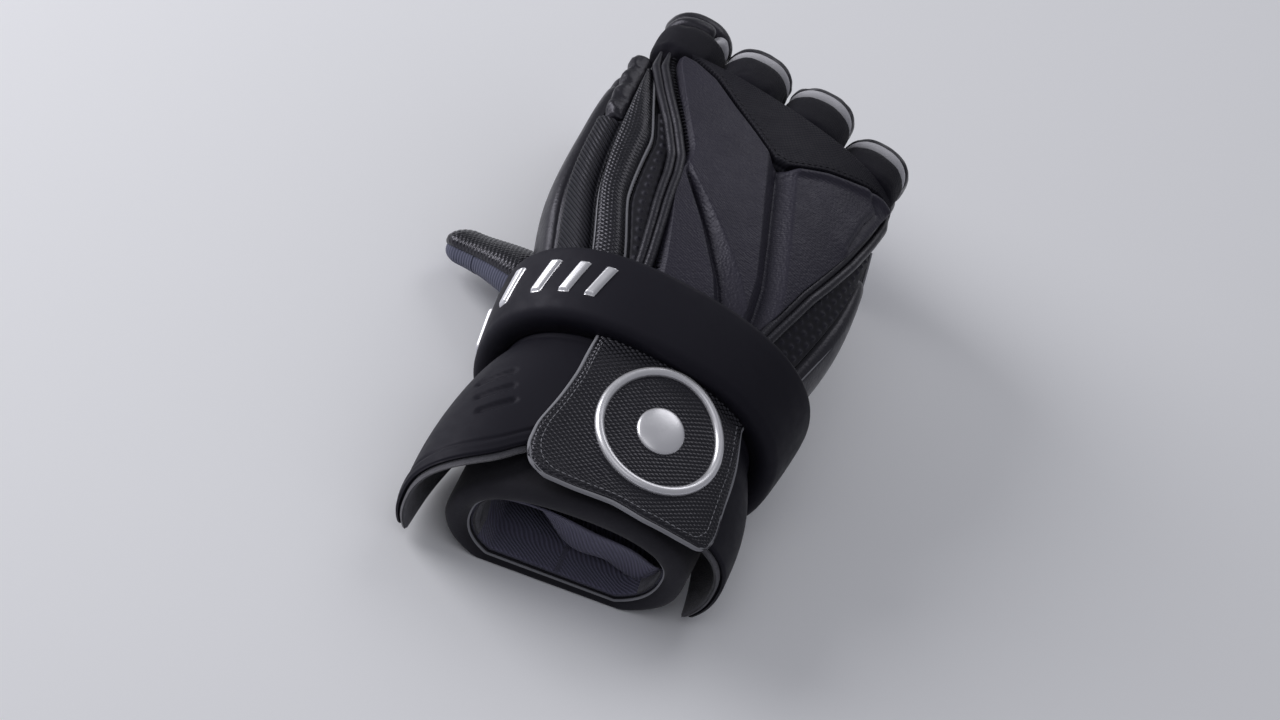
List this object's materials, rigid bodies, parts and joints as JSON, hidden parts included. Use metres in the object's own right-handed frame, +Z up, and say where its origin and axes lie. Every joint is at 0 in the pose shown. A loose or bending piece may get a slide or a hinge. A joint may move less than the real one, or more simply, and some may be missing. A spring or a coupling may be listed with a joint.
{
  "type": "lacrosse glove",
  "caption": "Padded right-hand lacrosse glove resting palm down, with a flared cuff, wrist band, moulded back and bent fingers.",
  "frame": {"origin": "centre of the glove's outline, on the surface that it rests on", "axes": "+Y from the cuff to the finger tips, +X to the little-finger side, +Z up, out of the back of the hand"},
  "size_m": [0.1836, 0.3304, 0.1027],
  "materials": {
    "leather_black": "satin",
    "rubber_black": "matte",
    "moulded_shell": "matte",
    "textured_vinyl": "satin",
    "mesh_black": "matte",
    "grey_fabric": "matte",
    "foam_black": "matte",
    "lining_fabric": "matte",
    "silver_trim": "satin"
  },
  "bodies": {
    "root": {"cuff_collar": "foam_black", "cuff_lining": "lining_fabric", "cuff_flap_thumb": "rubber_black", "cuff_flap_little": "rubber_black", "cuff_shield": "textured_vinyl", "badge_ring": "silver_trim", "badge_button": "silver_trim", "wrist_band": "rubber_black", "band_bar_1": "silver_trim", "band_bar_2": "silver_trim", "band_bar_3": "silver_trim", "band_bar_4": "silver_trim", "band_bar_5": "silver_trim", "band_bar_6": "silver_trim", "hand_body": "leather_black", "side_wall_thumb": "leather_black", "strip_ribbed": "textured_vinyl", "index_side_pad": "leather_black", "strip_carbon": "textured_vinyl", "mesh_thumb": "mesh_black", "rail_thumb": "leather_black", "back_shell": "moulded_shell", "rail_little": "leather_black", "mesh_little": "mesh_black", "side_wall_little": "leather_black", "knuckle_panel": "textured_vinyl", "palm_patch": "leather_black", "index_finger": "leather_black", "index_cap": "grey_fabric", "index_roll_1": "leather_black", "index_trim": "grey_fabric", "index_roll_2": "leather_black", "index_roll_3": "leather_black", "middle_finger": "leather_black", "middle_cap": "grey_fabric", "middle_roll_1": "leather_black", "middle_trim": "grey_fabric", "middle_roll_2": "leather_black", "middle_roll_3": "leather_black", "ring_finger": "leather_black", "ring_cap": "grey_fabric", "ring_roll_1": "leather_black", "ring_trim": "grey_fabric", "ring_roll_2": "leather_black", "ring_roll_3": "leather_black", "little_finger": "leather_black", "little_cap": "grey_fabric", "little_roll_1": "leather_black", "little_trim": "grey_fabric", "little_roll_2": "leather_black", "little_roll_3": "leather_black", "thumb": "grey_fabric", "thumb_cap": "grey_fabric", "thumb_pad": "textured_vinyl"}
  },
  "joints": []
}
